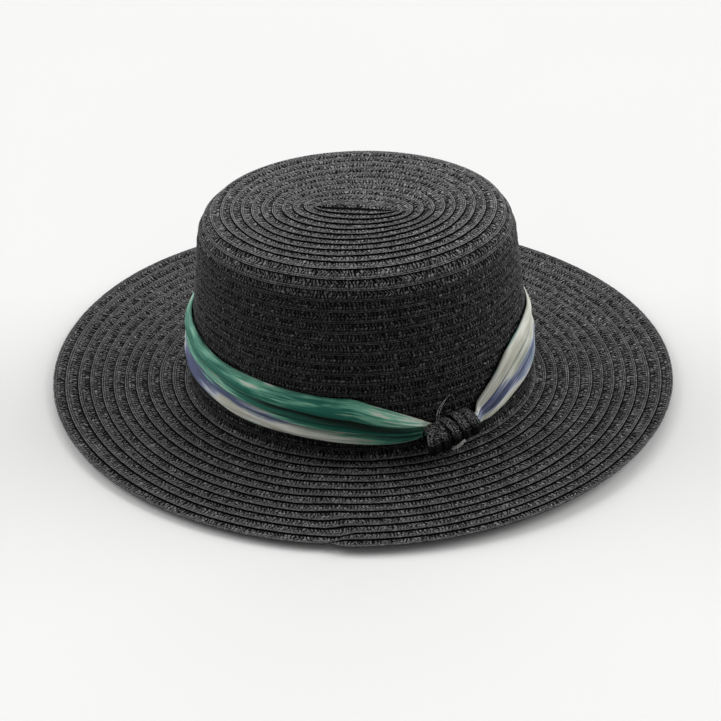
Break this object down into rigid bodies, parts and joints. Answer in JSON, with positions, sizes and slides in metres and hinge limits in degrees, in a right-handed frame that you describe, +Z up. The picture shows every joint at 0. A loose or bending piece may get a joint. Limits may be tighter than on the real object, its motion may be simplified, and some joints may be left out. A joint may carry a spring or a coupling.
{
  "type": "wide-brim straw sun hat",
  "caption": "Flat-topped oval straw hat of sewn braid with a wide, nearly flat brim and a gathered cloth band held by a wound straw knot.",
  "frame": {"origin": "middle of the hat's outline, on the surface it rests on", "axes": "+Z up through the crown's tip, +X along the long axis of the head oval, -Y the side where the knot sits"},
  "size_m": [0.3678, 0.3346, 0.118],
  "materials": {
    "straw": "black paper straw, plaited and sewn, slightly waxy",
    "band_cloth": "soft tie-dyed cloth in green, blue and cream, gathered",
    "knot_straw": "black paper straw braid, wound tight, slightly glossy"
  },
  "bodies": {
    "root": {"crown": "straw", "brim": "straw", "band": "band_cloth", "knot": "knot_straw"}
  },
  "joints": []
}
